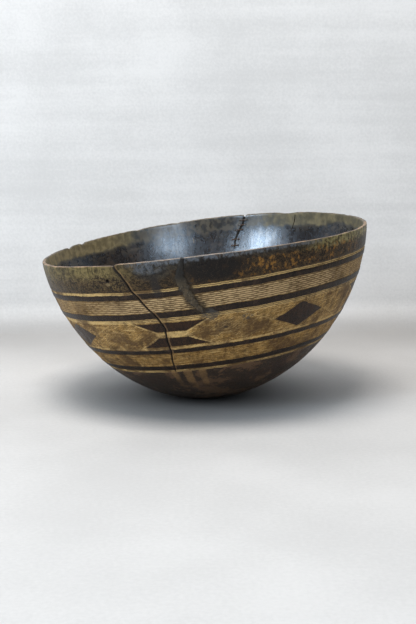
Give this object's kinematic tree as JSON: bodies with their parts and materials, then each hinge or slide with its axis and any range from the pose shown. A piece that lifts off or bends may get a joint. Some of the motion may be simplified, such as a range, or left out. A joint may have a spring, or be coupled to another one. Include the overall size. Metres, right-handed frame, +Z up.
{
  "type": "carved wooden bowl",
  "caption": "Deep round-bottomed bowl carved from one block of wood, with scraped geometric bands, a thin worn lip, an open crack, and mended cracks held with pitch and wire staples.",
  "frame": {"origin": "middle of the small flat worn under the round base, at the height of the ground, as the bowl stands leaning", "axes": "+Z up from the ground; +X towards the high side of the leaning rim; -Y towards the side with the open crack and the raised mend; the bowl's own axis leans 7.5 degrees from +Z towards -X"},
  "size_m": [0.3579, 0.3565, 0.1963],
  "materials": {
    "carved_wood": "dark stained outside worn to a satin, scraped light wood in the bands, dark glossy inside",
    "mending_pitch": "hardened grey-olive resin or pitch, satin",
    "staple_iron": "dark iron wire with rubbed bright ends"
  },
  "bodies": {
    "root": {"bowl_body": "carved_wood", "front_crack_filler": "mending_pitch", "rear_crack_filler": "mending_pitch", "staple_1": "staple_iron", "staple_2": "staple_iron", "staple_3": "staple_iron", "staple_4": "staple_iron", "staple_5": "staple_iron"}
  },
  "joints": []
}
